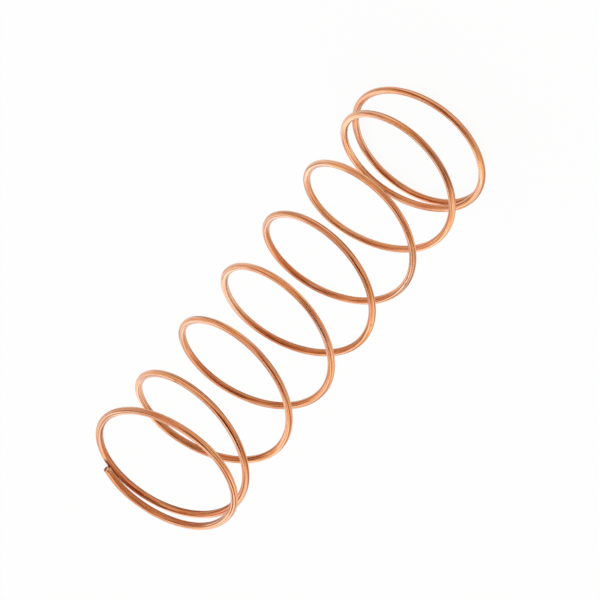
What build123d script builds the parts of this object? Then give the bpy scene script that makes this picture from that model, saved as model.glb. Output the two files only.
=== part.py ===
from build123d import *

import os
from math import ceil, cos, pi, radians, sin

# Compression spring for the piston of a brass instrument's valve: one length of round
# phosphor bronze wire, wound left-handed, with closed ends that are cut square and not ground.
# It stands on its bottom end on the XY plane, with the coil's axis on Z. Sizes in millimetres.

# Wire and coil
wire_diameter = 0.80
coil_diameter = 16.0          # working turns, from wire centre to wire centre
free_length = 55.0            # outside to outside along the axis, under no load
total_turns = 8.34            # from cut end to cut end
end_break = 0.05              # edge of each cut end, rounded off by the shears

# Closed turn at each end, which is wound wider than the working turns
end_growth = 0.27             # added to the coil's radius
tip_gap = 0.025               # air between a cut end and the turn that it lies against
low_closed_turns = 0.74       # turns that stay closed, from the bottom cut end
high_closed_turns = 0.85      # turns that stay closed, from the top cut end

# How the coil opens after a closed turn: turns past it, and share of the working pitch
low_opening = [(0.40, 0.52), (0.80, 0.90), (1.50, 1.00)]
high_opening = [(0.40, 0.82), (0.75, 1.00)]

# Where the wider end turns come in to the working radius, in turns from each cut end
low_shrink = (0.84, 1.94)
high_shrink = (0.90, 1.35)

# The top closed turn sits a little askew on the coil
top_lean = 0.33               # rise of its high side above its middle
top_lean_angle = 207.0        # direction of its high side, degrees from +X
top_lean_fade = (0.90, 1.35)  # turns from the top cut end where the lean dies out

arcs_per_turn = 12            # of the curve that the wire follows
first_step = 0.0001           # of a turn, which gives the wire's direction at its start
settling_rounds = 30          # of working the three pitches out from each other


def smooth_step(value, start, end):
    x = min(max((value - start) / (end - start), 0.0), 1.0)
    return x * x * (3 - 2 * x)


def pitch_stations(low_pitch, working_pitch, high_pitch):
    # turns from the bottom cut end, and the pitch there
    low = [(0.0, low_pitch), (low_closed_turns, low_pitch)]
    low += [(low_closed_turns + past, share * working_pitch) for past, share in low_opening]
    high = [(0.0, high_pitch), (high_closed_turns, high_pitch)]
    high += [(high_closed_turns + past, share * working_pitch) for past, share in high_opening]
    return low + [(total_turns - back, pitch) for back, pitch in reversed(high)]


def rise(turn, stations):
    # height gained from the bottom cut end, where the pitch blends smoothly between stations
    height = 0.0
    for (start, pitch), (end, next_pitch) in zip(stations, stations[1:]):
        x = min(max((turn - start) / (end - start), 0.0), 1.0)
        height += (end - start) * (pitch * x + (next_pitch - pitch) * (x**3 - x**4 / 2))
    return height


def lean(turn):
    held = 1 - smooth_step(total_turns - turn, *top_lean_fade)
    return held * top_lean * cos(winding_angle(turn) - radians(top_lean_angle))


def winding_angle(turn):
    return -2 * pi * turn     # left-handed, from the bottom cut end on +X


def coil_radius(turn):
    low = 1 - smooth_step(turn, *low_shrink)
    high = 1 - smooth_step(total_turns - turn, *high_shrink)
    return coil_diameter / 2 + end_growth * (low + high)


def wire_centre(turn, stations):
    angle = winding_angle(turn)
    radius = coil_radius(turn)
    height = wire_diameter / 2 + rise(turn, stations) + lean(turn)
    return Vector(radius * cos(angle), radius * sin(angle), height)


# One turn on from a cut end the wire has risen by its own diameter and the gap, and the whole
# coil fills the free length. The three pitches follow from that.
closed_rise = wire_diameter + tip_gap
top_tip_lift = lean(total_turns) - lean(total_turns - 1)
total_rise = free_length - wire_diameter - lean(total_turns)
low_pitch = wire_diameter
high_pitch = wire_diameter
working_pitch = free_length / total_turns
for _ in range(settling_rounds):
    stations = pitch_stations(low_pitch, working_pitch, high_pitch)
    height = rise(total_turns, stations)
    low_pitch += closed_rise - rise(1, stations)
    high_pitch += closed_rise - top_tip_lift - (height - rise(total_turns - 1, stations))
    working_pitch += (total_rise - height) / total_turns
stations = pitch_stations(low_pitch, working_pitch, high_pitch)

# The wire's centre line is a chain of arcs, each leaving along the last one's end. A round
# section follows it from cut end to cut end, square to the wire all the way.
arc_count = ceil(total_turns * arcs_per_turn)
points = [wire_centre(total_turns * step / arc_count, stations) for step in range(arc_count + 1)]
heading = wire_centre(first_step, stations) - wire_centre(0, stations)

with BuildPart() as valve_spring:
    with BuildLine() as coil:
        for start, end in zip(points, points[1:]):
            arc = TangentArc(start, end, tangent=heading)
            heading = arc % 1
    with BuildSketch(Plane(coil.line @ 0, z_dir=coil.line % 0)):
        Circle(wire_diameter / 2)
    sweep()
    cut_ends = valve_spring.faces().filter_by(GeomType.PLANE)
    chamfer(cut_ends.edges(), end_break)

valve_spring.part.label = "valve_spring"

wire_length = sum(edge.length for edge in coil.edges())
section = pi * wire_diameter**2 / 4
print(f"pitch: bottom {low_pitch:.3f}, working {working_pitch:.3f}, top {high_pitch:.3f}")
print(f"wire length {wire_length:.2f}, section x length {section * wire_length:.3f}")
print(f"volume {valve_spring.part.volume:.3f}, solids {len(valve_spring.part.solids())}")
print(f"size {valve_spring.part.bounding_box().size}")

os.makedirs("parts", exist_ok=True)
export_step(valve_spring.part, "parts/valve_spring.step")
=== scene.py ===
import math

import bpy
import numpy as np
from mathutils import Matrix, Quaternion, Vector


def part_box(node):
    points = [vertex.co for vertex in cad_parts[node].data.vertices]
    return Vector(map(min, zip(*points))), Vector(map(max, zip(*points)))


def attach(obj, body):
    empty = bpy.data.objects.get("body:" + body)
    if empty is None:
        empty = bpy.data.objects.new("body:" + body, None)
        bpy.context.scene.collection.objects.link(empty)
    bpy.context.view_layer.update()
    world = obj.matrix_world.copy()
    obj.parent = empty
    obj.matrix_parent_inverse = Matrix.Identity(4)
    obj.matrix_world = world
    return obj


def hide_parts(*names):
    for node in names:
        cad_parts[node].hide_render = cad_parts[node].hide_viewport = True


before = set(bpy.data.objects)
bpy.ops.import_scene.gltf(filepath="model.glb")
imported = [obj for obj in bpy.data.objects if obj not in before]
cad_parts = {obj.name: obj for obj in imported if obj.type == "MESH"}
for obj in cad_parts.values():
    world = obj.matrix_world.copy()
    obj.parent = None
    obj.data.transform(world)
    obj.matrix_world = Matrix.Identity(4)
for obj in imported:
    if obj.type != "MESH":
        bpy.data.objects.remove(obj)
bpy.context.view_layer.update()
cadLow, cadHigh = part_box("valve_spring")
scene = bpy.context.scene
mm = 0.001
print("frame loaded, the spring stands", round((cadHigh.z - cadLow.z) / mm, 2), "mm tall")


# The wire: the solid's centre line and section, and what handling has done to them

coil = {
    "wire": 0.80 * mm,
    "radius": 8.0 * mm,           # working turns, to the middle of the wire
    "turns": 8.34,
    "pitch": [                    # turns from the bottom cut end, and rise per turn in mm
        (0.0, 0.527), (0.74, 0.527), (1.14, 4.541), (1.54, 7.860), (2.24, 8.733),
        (6.74, 8.733), (7.09, 7.161), (7.49, 0.678), (8.34, 0.678),
    ],
    "endGrowth": 0.27 * mm,       # the end turns are wound wider
    "lowShrink": (0.84, 1.94),    # turns from the bottom cut end where that fades
    "highShrink": (0.90, 1.35),   # turns from the top cut end where it fades
    "topLean": 0.33 * mm,         # the top closed turn sits askew
    "topLeanAngle": 207.0,        # degrees around the coil, from +X, where it is highest
    "topLeanFade": (0.90, 1.35),  # turns from the top cut end
    "cutRound": 0.05 * mm,        # edge of a cut end
    # small bends: turn, turns each way, mm outward and upward
    "bends": [
        (0.04, 0.16, -0.08, 0), (0.72, 0.17, 0, -0.07), (1.07, 0.22, -0.09, 0),
        (1.14, 0.13, 0, -0.06), (1.80, 0.30, 0, -0.05), (2.15, 0.20, 0, -0.09),
        (2.66, 0.20, 0, 0.10), (3.05, 0.35, 0.04, 0), (4.03, 0.12, 0.05, 0),
        (4.95, 0.12, 0.05, 0), (5.37, 0.17, 0, -0.07), (6.57, 0.17, 0, -0.09),
        (6.90, 0.26, 0, 0.15), (7.13, 0.25, 0, 0.19), (7.48, 0.12, 0.08, 0),
        (7.70, 0.15, 0, 0.08), (8.01, 0.12, -0.12, 0), (8.36, 0.10, -0.16, 0),
    ],
    # dents: turn, degrees around the wire from outward, length, width and depth in mm
    "nicks": [
        (6.634, 67, 0.16, 0.08, 0.030), (5.788, 330, 0.20, 0.08, 0.025),
        (2.955, 94, 0.22, 0.06, 0.020), (2.973, 79, 0.26, 0.06, 0.020),
        (4.462, 79, 0.16, 0.08, 0.030), (3.935, 56, 0.12, 0.10, 0.030),
        (1.310, 205, 0.30, 0.07, 0.020), (5.170, 248, 0.14, 0.09, 0.030),
        (7.020, 150, 0.24, 0.07, 0.025), (7.3505, 92, 0.24, 0.26, 0.008),
        (7.3565, 88, 0.24, 0.26, 0.008),
    ],
    "nickGrime": 0.8,
    # duller lengths, and brighter ones below 0, partly stains and partly painted shade and
    # highlight: turn at the middle, turns each way, strength
    "stainsAndPaintedLight": [
        (0.12, 0.06, 0.30), (0.26, 0.20, -0.12), (0.52, 0.12, 0.25), (1.12, 0.06, 0.15),
        (2.50, 0.14, -0.20), (2.96, 0.09, -0.45), (3.09, 0.10, 0.25), (3.36, 0.12, 0.45),
        (3.86, 0.24, 0.20), (4.18, 0.12, 0.40), (4.38, 0.10, -0.20), (4.98, 0.12, 0.30),
        (5.30, 0.14, 0.35), (6.16, 0.14, 0.20), (6.42, 0.10, -0.20), (7.03, 0.06, 0.35),
        (7.20, 0.06, -0.40), (7.36, 0.12, 0.45), (7.57, 0.08, -0.25), (7.71, 0.09, 0.45),
        (8.05, 0.12, -0.20), (8.26, 0.11, 0.55),
    ],
    # single lines along the wire, partly streaks and partly painted shade and highlight: turn,
    # turns each way, degrees around, width in mm, strength
    "streaks": [
        (0.38, 0.10, 172, 0.20, -1.0), (1.38, 0.10, 172, 0.20, -1.0), (1.80, 0.05, 26, 0.18, -0.7),
        (3.24, 0.12, 114, 0.18, 0.9), (3.22, 0.06, 153, 0.12, -0.8), (4.20, 0.22, 115, 0.16, 0.8),
        (4.38, 0.10, 154, 0.18, -1.1), (4.81, 0.07, 72, 0.20, -1.3), (5.76, 0.10, 325, 0.14, 1.0),
        (6.26, 0.08, 116, 0.18, 0.7), (6.80, 0.08, 332, 0.16, 1.0), (7.11, 0.08, 112, 0.14, 0.6),
        (7.24, 0.07, 162, 0.14, 0.8), (7.41, 0.05, 146, 0.14, -0.7), (8.04, 0.09, 90, 0.20, 0.6),
        (8.02, 0.07, 130, 0.18, -1.2), (8.30, 0.05, 172, 0.12, 0.7), (8.32, 0.06, 212, 0.12, -1.2),
    ],
    "paintedBrightSide": (0.54, 0.13, -0.45),    # painted highlight on the same side of every turn: middle and reach as shares, strength
    "contactShadeReach": 0.12 * mm,              # painted shade between the closed turns
    "contactShadeShares": (0.35, 1.0),           # of that painted shade, towards the turn below, and the one above
    # mesh
    "ringsPerTurn": 290,
    "sides": 36,
    "faceRings": (0.25, 0.50, 0.75),      # on the flat of a cut end, shares of its radius
    "edgeRings": (90, 60, 30),            # on its rounded edge, degrees from the wire's side
    # UV map: rows of unrolled wire, and the two cut faces in the free end of the last row
    "uvRows": 13,
    "uvMargin": 0.003,
    "uvFree": 0.15,                       # share of the last row
    "uvBand": (0.04, 0.92),               # the wire's start in its row, and how much it fills
    "uvFaceAt": 0.55,                     # the first cut face, in row heights from the free end
    "uvFaceSize": 0.44,                   # its radius, in row heights
}


def shareBetween(value, start, end):
    return min(max((value - start) / (end - start), 0.0), 1.0)


def smoothStep(value, start, end):
    x = shareBetween(value, start, end)
    return x * x * (3 - 2 * x)


def riseAt(turn):
    # between two stations the pitch blends smoothly
    height = 0.0
    for (start, pitch), (end, nextPitch) in zip(coil["pitch"], coil["pitch"][1:]):
        x = shareBetween(turn, start, end)
        height += (end - start) * (pitch * x + (nextPitch - pitch) * (x ** 3 - x ** 4 / 2))
    return height * mm


def centreAt(turn):
    back = coil["turns"] - turn
    angle = -2 * math.pi * turn    # left-handed, from the bottom cut end on +X
    grown = 2 - smoothStep(turn, *coil["lowShrink"]) - smoothStep(back, *coil["highShrink"])
    radius = coil["radius"] + coil["endGrowth"] * grown
    held = 1 - smoothStep(back, *coil["topLeanFade"])
    lean = held * coil["topLean"] * math.cos(angle - math.radians(coil["topLeanAngle"]))
    height = coil["wire"] / 2 + riseAt(turn) + lean
    for middle, reach, outward, upward in coil["bends"]:
        share = max(1 - ((turn - middle) / reach) ** 2, 0) ** 3
        radius += share * outward * mm
        height += share * upward * mm
    return np.array([radius * math.cos(angle), radius * math.sin(angle), height])


def centreLine():
    # at each step: its turn, its point, the wire's direction, outward, sideways, distance along
    count = math.ceil(coil["turns"] * coil["ringsPerTurn"])
    turns = np.linspace(0, coil["turns"], count + 1)
    middles = np.array([centreAt(turn) for turn in turns])
    along = np.gradient(middles, axis=0)
    along /= np.linalg.norm(along, axis=1)[:, None]
    outward = middles * (1, 1, 0)
    outward -= (outward * along).sum(1)[:, None] * along
    outward /= np.linalg.norm(outward, axis=1)[:, None]
    run = np.concatenate([[0], np.cumsum(np.linalg.norm(np.diff(middles, axis=0), axis=1))])
    return turns, middles, along, outward, np.cross(along, outward), run


def ringRows(run):
    # one row per ring: its step on the centre line, its size, and how far it moves along
    radius, bend = coil["wire"] / 2, coil["cutRound"]
    end = [(0, share * (1 - bend / radius), 0) for share in coil["faceRings"]]
    for degrees in coil["edgeRings"]:
        tilt = math.radians(degrees)
        end.append((0, 1 - bend / radius * (1 - math.cos(tilt)), bend * (1 - math.sin(tilt))))
    first = 1 + int(np.searchsorted(run, bend))
    last = len(run) - 1
    rings = end + [(step, 1, 0) for step in range(first, last - first + 1)]
    rings += [(last, scale, -shift) for _, scale, shift in reversed(end)]
    step, scale, shift = (np.array(column) for column in zip(*rings))
    return step, scale[:, None], shift[:, None]


def fadeOut(distance, reach):
    # 1 at no distance, 0 from reach on, rounded in between
    return (1 - np.clip(np.abs(distance) / reach, 0, 1) ** 2) ** 2


def bell(distance, width):
    return np.exp(-(distance / width) ** 2)


def distanceAround(angles, degrees):
    away = (angles - math.radians(degrees) + math.pi) % (2 * math.pi) - math.pi
    return away * coil["wire"] / 2


def stainAndPaintedLightOn(turnAt, angles):
    # one level for each ring and side, of stains and of painted shade and highlight
    # painted highlight, brighter below 0, on the same side of every turn
    middle, reach, strength = coil["paintedBrightSide"]
    stainAndPaintedLight = strength * fadeOut((turnAt - middle + 0.5) % 1 - 0.5, reach)
    for turn, reach, strength in coil["stainsAndPaintedLight"]:
        stainAndPaintedLight = stainAndPaintedLight + strength * fadeOut(turnAt - turn, reach)
    for turn, reach, degrees, width, strength in coil["streaks"]:
        line = bell(distanceAround(angles, degrees), width * mm)
        stainAndPaintedLight = stainAndPaintedLight + strength * fadeOut(turnAt - turn, reach) * line
    return stainAndPaintedLight


def facesAndSpots(place, scale, angles, length):
    # the faces, and where their corners lie in the UV map
    rings, sides, rows = len(place), coil["sides"], coil["uvRows"]
    rowLength = length / (rows - coil["uvFree"])
    margin, (bandStart, bandHeight) = coil["uvMargin"], coil["uvBand"]
    faces, spots = [], []

    def unrolled(ring, side, row):
        # a row's last face ends a little past 1, so the row is kept short
        along = (place[ring, 0] - row * rowLength) / rowLength
        return (margin + along * (1 - 4 * margin),
                (row + bandStart + bandHeight * side / sides) / rows)

    def faceMiddle(high):
        return 1 - (coil["uvFaceAt"] + high) / rows, 1 - 0.5 / rows

    def onCutFace(ring, side, high):
        size = coil["uvFaceSize"] * scale[ring, 0] / rows
        x, y = faceMiddle(high)
        return x + size * math.cos(angles[side]), y + size * math.sin(angles[side])

    for ring in range(rings - 1):
        flat = scale[ring, 0] < 1 and scale[ring + 1, 0] < 1
        high = ring > rings / 2
        row = int(place[ring, 0] / rowLength)
        here, there = ring * sides, (ring + 1) * sides
        for side in range(sides):
            after = (side + 1) % sides
            faces.append((here + side, here + after, there + after, there + side))
            if flat:
                spots += [onCutFace(ring, side, high), onCutFace(ring, after, high),
                          onCutFace(ring + 1, after, high), onCutFace(ring + 1, side, high)]
            else:
                spots += [unrolled(ring, side, row), unrolled(ring, side + 1, row),
                          unrolled(ring + 1, side + 1, row), unrolled(ring + 1, side, row)]

    # fans that close the two cut ends, around the last two vertices
    for ring, tip, high in ((0, rings * sides, False), (rings - 1, rings * sides + 1, True)):
        for side in range(sides):
            after = (side + 1) % sides
            pair = (side, after) if high else (after, side)
            faces.append((tip, ring * sides + pair[0], ring * sides + pair[1]))
            spots += [faceMiddle(high), onCutFace(ring, pair[0], high),
                      onCutFace(ring, pair[1], high)]
    return faces, spots


def makeWire():
    turns, middles, along, outward, sideways, run = centreLine()
    step, scale, shift = ringRows(run)
    place = run[step][:, None] + shift
    radius, sides, last = coil["wire"] / 2, coil["sides"], len(run) - 1
    angles = np.arange(sides) * 2 * math.pi / sides
    across = np.cos(angles)[:, None] * outward[step][:, None]
    across += np.sin(angles)[:, None] * sideways[step][:, None]
    points = (middles[step] + shift * along[step])[:, None] + scale[:, None] * radius * across

    # dents
    grimeAndShade = np.zeros(points.shape[:2])
    for turn, degrees, length, width, depth in coil["nicks"]:
        dent = bell(place - np.interp(turn, turns, run), length * mm)
        dent = dent * bell(distanceAround(angles, degrees), width * mm)
        points -= (depth * mm * dent)[:, :, None] * across
        grimeAndShade += coil["nickGrime"] * dent

    # painted shade where a closed turn lies against the next one
    perTurn = round(last / coil["turns"])
    for away, share in zip((-perTurn, perTurn), coil["contactShadeShares"]):
        beside = step + away
        there = (beside >= 0) & (beside <= last)
        gap = np.linalg.norm(points[there] - middles[beside[there]][:, None], axis=2) - radius
        grimeAndShade[there] += share * np.exp(-np.maximum(gap, 0) / coil["contactShadeReach"])

    # the last two vertices are the middles of the cut ends
    vertices = np.concatenate([points.reshape(-1, 3), middles[[0, last]]])
    faces, spots = facesAndSpots(place, scale, angles, run[last])
    mesh = bpy.data.meshes.new("valveSpringWire")
    mesh.from_pydata(vertices.tolist(), [], faces)

    # what the material reads: the wire laid out straight, and a level of each mark, some of them
    # painted shade and highlight
    straight = np.stack([scale * radius * np.cos(angles), scale * radius * np.sin(angles),
                         np.broadcast_to(place, grimeAndShade.shape)], axis=2).reshape(-1, 3)
    straight = np.concatenate([straight, [(0, 0, 0), (0, 0, run[last])]])
    straightWire = mesh.attributes.new("straightWire", "FLOAT_VECTOR", "POINT")
    straightWire.data.foreach_set("vector", straight.ravel())
    stainAndPaintedLight = stainAndPaintedLightOn(turns[step][:, None], angles)
    levels = {
        "stainAndPaintedLight": np.concatenate([stainAndPaintedLight.ravel(), stainAndPaintedLight[[0, -1], 0]]),
        "grimeAndShade": np.concatenate([grimeAndShade.ravel(), [0, 0]]),
        "cutFace": np.concatenate([np.repeat(scale[:, 0] < 1, sides), [1, 1]]).astype(float),
    }
    for name, level in levels.items():
        mesh.attributes.new(name, "FLOAT", "POINT").data.foreach_set("value", level)
    mesh.uv_layers.new(name="OFBake").data.foreach_set("uv", np.array(spots).ravel())
    mesh.polygons.foreach_set("use_smooth", [True] * len(mesh.polygons))
    mesh.update()
    wire = bpy.data.objects.new("valve_spring_wire", mesh)
    scene.collection.objects.link(wire)
    return wire


# Shader sums, written as Python expressions

class Wired:
    def __init__(self, tree, socket):
        self.tree, self.socket = tree, socket

    def math(self, operation, other):
        return node(self.tree, "Math", {"operation": operation}, {0: self, 1: other})

    def __add__(self, other): return self.math("ADD", other)
    def __sub__(self, other): return self.math("SUBTRACT", other)
    def __mul__(self, other): return self.math("MULTIPLY", other)
    def __radd__(self, other): return self + other
    def __rsub__(self, other): return self * -1 + other
    def __rmul__(self, other): return self * other

    def between(self, start, full, most=1.0):
        # 0 at start, most at full, smooth in between
        return node(self.tree, "MapRange", {"interpolation_type": "SMOOTHSTEP"},
                    {"Value": self, "From Min": start, "From Max": full, "To Max": most})


def node(tree, kind, settings, inputs, output=0):
    made = tree.nodes.new("ShaderNode" + kind)
    for name, value in settings.items():
        setattr(made, name, value)
    for name, value in inputs.items():
        if isinstance(value, Wired):
            tree.links.new(value.socket, made.inputs[name])
        else:
            made.inputs[name].default_value = value
    return Wired(tree, made.outputs[output]) if made.outputs else None


def mixColour(factor, low, high):
    def full(value):
        return value if isinstance(value, Wired) else (*value, 1)
    # of the Mix node's sockets, inputs 6 and 7 and output 2 are the colours
    return node(factor.tree, "Mix", {"data_type": "RGBA"},
                {"Factor": factor, 6: full(low), 7: full(high)}, 2)


def emptyTree(owner):
    owner.use_nodes = True
    owner.node_tree.nodes.clear()
    return owner.node_tree


# Phosphor bronze, drawn bright and a little tarnished

bronze = {
    "bright": (0.95, 0.62, 0.42),       # rubbed lines
    "clean": (0.85, 0.385, 0.20),
    "golden": (0.83, 0.42, 0.17),       # where the tarnish is thin and yellow
    "deep": (0.50, 0.15, 0.05),         # darker lines that the die left
    "tarnish": (0.22, 0.075, 0.03),
    "scored": (0.80, 0.46, 0.28),       # cut ends, where the blade went in
    "torn": (0.44, 0.20, 0.10),         # cut ends, where the wire gave way
    "grimeAndShade": (0.12, 0.022, 0.006),      # grime in the dents, and painted shade between the closed turns
    # patterns: features per mm outwards, sideways and along the wire, detail, seed
    "ridges": ((3.6, 3.6, 0.05), 1.0, 53.1),          # long and faint
    "dieLines": ((7.0, 7.0, 0.10), 2.0, 3.1),         # long and narrow
    "fineLines": ((15.0, 15.0, 0.35), 2.0, 11.7),
    "clouds": ((1.1, 1.1, 0.16), 3.0, 27.3),          # uneven tarnish
    "specks": ((9.0, 9.0, 5.0), 2.0, 40.9),
    "patches": ((2.6, 2.6, 0.20), 2.0, 71.3),         # of yellower metal
    "scores": ((26.0, 2.0, 1.0), 2.0, 8.3),           # the blade's lines across a cut face
    "grain": ((24.0, 24.0, 24.0), 3.0, 19.9),
    "patternRoughness": 0.6,
    # layers: where in its pattern each starts and is full, and how strong it is there
    "evenMetal": (0.43, 0.53, 1.0),
    "goldenMetal": (0.40, 0.60, 1.0),
    "rubbedFine": (0.50, 0.72, 0.60),
    "rubbedWide": (0.56, 0.64, 0.50),
    "insideShade": (0.15, -0.50, 0.30),               # the side that faces the coil's axis
    "darkLines": (0.42, 0.32, 0.85),
    "darkClouds": (0.45, 0.70, 0.25),
    "darkSpecks": (0.68, 0.76, 0.35),
    "tornHalf": (-0.02, 0.05, 1.0),
    "darkGrain": (0.55, 0.35, 0.35),
    "tornWaver": 0.6,                   # how unevenly the two halves of a cut end meet
    "stainAndPaintedLightInLines": 0.05,               # the stain and painted light level widens the dark lines,
    "stainAndPaintedLightOnRubbed": 0.7,               # dulls the rubbed ones
    "stainAndPaintedLightOverall": 0.2,                # and deepens the metal, more under the clouds
    "grimeAndShadeCover": (0.75, 0.50),         # everywhere, and more with the specks
    "roughness": (0.08, 0.26),
    "cutRoughness": (0.08, 0.22),       # added on the cut ends, and more on their torn half
    "grimeAndShadeRoughness": 0.15,
    # heights of what the bump shows, in line depths
    "lineDepth": 0.012 * mm,
    "ridgeHeight": 1.8,
    "lineHeight": 1.4,
    "fineHeight": 0.6,
    "grainHeight": 2.0,
    "tornDrop": 1.5,
}


def makeBronze():
    material = bpy.data.materials.new("bronzeWire")
    tree = emptyTree(material)

    def attribute(name, output):
        return node(tree, "Attribute", {"attribute_name": name}, {}, output)

    def pattern(name):
        perMm, detail, seed = bronze[name]
        place = node(tree, "Mapping", {}, {
            "Vector": straight,
            "Location": (seed, seed * 0.7, seed * 1.3),      # so that no two line up
            "Scale": tuple(count / mm for count in perMm)})
        return node(tree, "TexNoise", {"noise_dimensions": "3D"}, {
            "Vector": place, "Scale": 1.0, "Detail": detail,
            "Roughness": bronze["patternRoughness"]})

    straight = attribute("straightWire", "Vector")
    outwards = node(tree, "SeparateXYZ", {}, {"Vector": straight}, "X")
    across = outwards * (1 / coil["wire"])       # -0.5 towards the coil's axis, 0.5 away from it
    stainAndPaintedLight, grimeAndShade, cutFace = (attribute(name, "Fac") for name in ("stainAndPaintedLight", "grimeAndShade", "cutFace"))
    ridges, dieLines, fineLines = pattern("ridges"), pattern("dieLines"), pattern("fineLines")
    clouds, specks, patches = pattern("clouds"), pattern("specks"), pattern("patches")
    scores, grain = pattern("scores"), pattern("grain")

    # drawn metal
    # the stain level is partly painted shade and highlight, and darkens or lifts the metal with it
    lines = (dieLines - stainAndPaintedLight * bronze["stainAndPaintedLightInLines"]).between(*bronze["evenMetal"])
    metal = mixColour(patches.between(*bronze["goldenMetal"]), bronze["clean"], bronze["golden"])
    colour = mixColour(lines, bronze["deep"], metal)
    rubbed = fineLines.between(*bronze["rubbedFine"]) + dieLines.between(*bronze["rubbedWide"])
    colour = mixColour(rubbed - stainAndPaintedLight * bronze["stainAndPaintedLightOnRubbed"], colour, bronze["bright"])
    shade = across.between(*bronze["insideShade"])
    shade = shade + stainAndPaintedLight * (bronze["stainAndPaintedLightOverall"] + clouds)
    colour = mixColour(shade, colour, bronze["deep"])
    dark = dieLines.between(*bronze["darkLines"]) + clouds.between(*bronze["darkClouds"])
    dark = dark + specks.between(*bronze["darkSpecks"])
    colour = mixColour(dark, colour, bronze["tarnish"])

    # cut ends, then grime and painted contact shade over everything
    torn = (across + (patches - 0.5) * bronze["tornWaver"]).between(*bronze["tornHalf"])
    cutColour = mixColour(torn, bronze["scored"], bronze["torn"])
    cutColour = mixColour(grain.between(*bronze["darkGrain"]), cutColour, bronze["tarnish"])
    colour = mixColour(cutFace, colour, cutColour)
    cover, speckled = bronze["grimeAndShadeCover"]
    colour = mixColour(grimeAndShade * (cover + speckled * specks), colour, bronze["grimeAndShade"])

    low, high = bronze["roughness"]
    onCut, onTorn = bronze["cutRoughness"]
    roughness = low + (high - low) * (fineLines * 0.5 + clouds * 0.5)
    roughness = roughness + cutFace * (onCut + onTorn * torn) + grimeAndShade * bronze["grimeAndShadeRoughness"]

    drawn = ridges * bronze["ridgeHeight"] + lines * bronze["lineHeight"]
    drawn = drawn + fineLines * bronze["fineHeight"]
    cut = scores * (1 - torn) + (grain * bronze["grainHeight"] - bronze["tornDrop"]) * torn
    height = drawn * (1 - cutFace) + cut * cutFace
    bump = node(tree, "Bump", {}, {
        "Height": height, "Strength": 1.0, "Distance": bronze["lineDepth"]})
    surface = node(tree, "BsdfPrincipled", {}, {
        "Base Color": colour, "Metallic": 1.0, "Roughness": roughness, "Normal": bump})
    node(tree, "OutputMaterial", {}, {"Surface": surface})
    return material


# Studio

studio = {
    "floorSize": 1.6,
    "floorColour": (0.96, 0.96, 0.96),
    "floorGlow": 0.94,                  # how far the camera sees the floor as plain white
    "roomColour": (0.87, 0.64, 0.475),
    # parts of the room: direction from the spring, degrees from it where full and gone, colour
    "keyLight": ((0.20, -0.66, 0.72), 22, 62, (1.48, 1.64, 1.88)),
    "fillLight": ((0.98, -0.03, -0.17), 12, 41, (1.55, 1.46, 1.23)),
    "sideWall": ((-0.68, 0.01, 0.73), 6, 28, (0.69, 0.51, 0.39)),
    "backLight": ((0.26, 0.95, 0.17), 10, 33, (1.06, 0.82, 0.65)),
    "dimWall": ((0.00, 0.74, 0.67), 10, 25, (0.18, 0.050, 0.012)),
    "dimCorner": ((0.28, 0.46, 0.84), 13, 35, (0.22, 0.070, 0.025)),
}


def makeWorld():
    world = bpy.data.worlds.new("studioWorld")
    scene.world = world
    tree = emptyTree(world)
    direction = node(tree, "TexCoord", {}, {}, "Generated")
    room = studio["roomColour"]
    for part in ("keyLight", "fillLight", "sideWall", "backLight", "dimWall", "dimCorner"):
        towards, full, gone, colour = studio[part]
        facing = node(tree, "VectorMath", {"operation": "DOT_PRODUCT"},
                      {0: direction, 1: Vector(towards).normalized()}, "Value")
        share = facing.between(math.cos(math.radians(gone)), math.cos(math.radians(full)))
        room = mixColour(share, room, colour)
    seen = node(tree, "LightPath", {}, {}, "Is Camera Ray")
    backdrop = mixColour(seen, room, (1, 1, 1))
    light = node(tree, "Background", {}, {"Color": backdrop, "Strength": 1.0})
    node(tree, "OutputWorld", {}, {"Surface": light})


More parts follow.
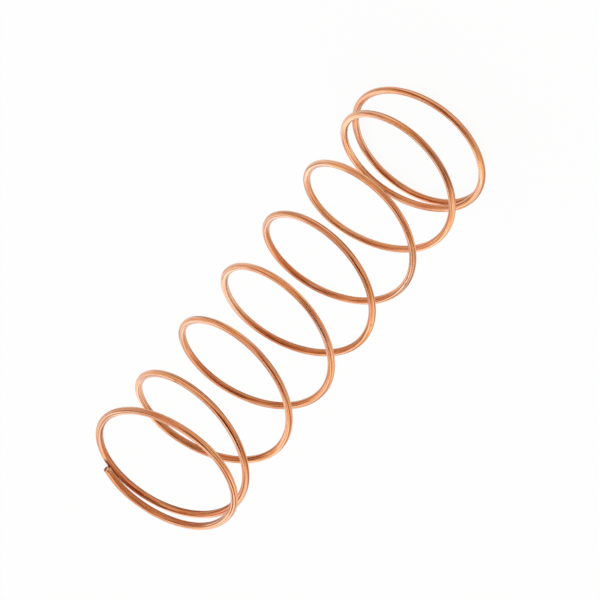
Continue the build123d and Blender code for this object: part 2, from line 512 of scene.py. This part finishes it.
def makeFloor():
    half = studio["floorSize"] / 2
    mesh = bpy.data.meshes.new("floor")
    corners = [(-half, -half, 0), (half, -half, 0), (half, half, 0), (-half, half, 0)]
    mesh.from_pydata(corners, [], [(0, 1, 2, 3)])
    floor = bpy.data.objects.new("floor", mesh)
    scene.collection.objects.link(floor)
    material = bpy.data.materials.new("floorWhite")
    tree = emptyTree(material)
    paper = node(tree, "BsdfDiffuse", {}, {"Color": (*studio["floorColour"], 1)})
    glow = node(tree, "Emission", {}, {"Color": (1, 1, 1, 1), "Strength": 1.0})
    camera = node(tree, "LightPath", {}, {}, "Is Camera Ray")
    glossy = node(tree, "LightPath", {}, {}, "Is Glossy Ray")
    seen = camera.math("MAXIMUM", glossy)
    surface = node(tree, "MixShader", {}, {"Fac": seen * studio["floorGlow"], 1: paper, 2: glow})
    node(tree, "OutputMaterial", {}, {"Surface": surface})
    mesh.materials.append(material)


# The photograph's view

view = {
    "lookAzimuth": 174.607,      # the way it looks, clockwise from +Y
    "lookDown": 33.786,
    "roll": -141.813,
    "distance": 505.67 * mm,
    "aim": (0.033 * mm, 0.396 * mm, 26.915 * mm),
    "lens": 279.587,
    "sensor": 36.0,
    "clip": (0.01, 20.0),        # nearest and farthest that it sees, in metres
}


def makeCamera():
    camera = bpy.data.cameras.new("camera")
    camera.lens, camera.sensor_width = view["lens"], view["sensor"]
    camera.clip_start, camera.clip_end = view["clip"]
    azimuth, down = math.radians(view["lookAzimuth"]), math.radians(view["lookDown"])
    level = math.cos(down)
    look = Vector((math.sin(azimuth) * level, math.cos(azimuth) * level, -math.sin(down)))
    turn = look.to_track_quat("-Z", "Y") @ Quaternion((0, 0, 1), math.radians(view["roll"]))
    place = Vector(view["aim"]) - look * view["distance"]
    holder = bpy.data.objects.new("camera", camera)
    holder.matrix_world = Matrix.LocRotScale(place, turn, None)
    scene.collection.objects.link(holder)
    scene.camera = holder


makeCamera()
makeWorld()
makeFloor()
scene.view_settings.view_transform = "Standard"
print("studio ready")

wire = makeWire()
wire.data.materials.append(makeBronze())
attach(wire, "root")
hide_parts("valve_spring")
print("wire made,", len(wire.data.polygons), "faces")
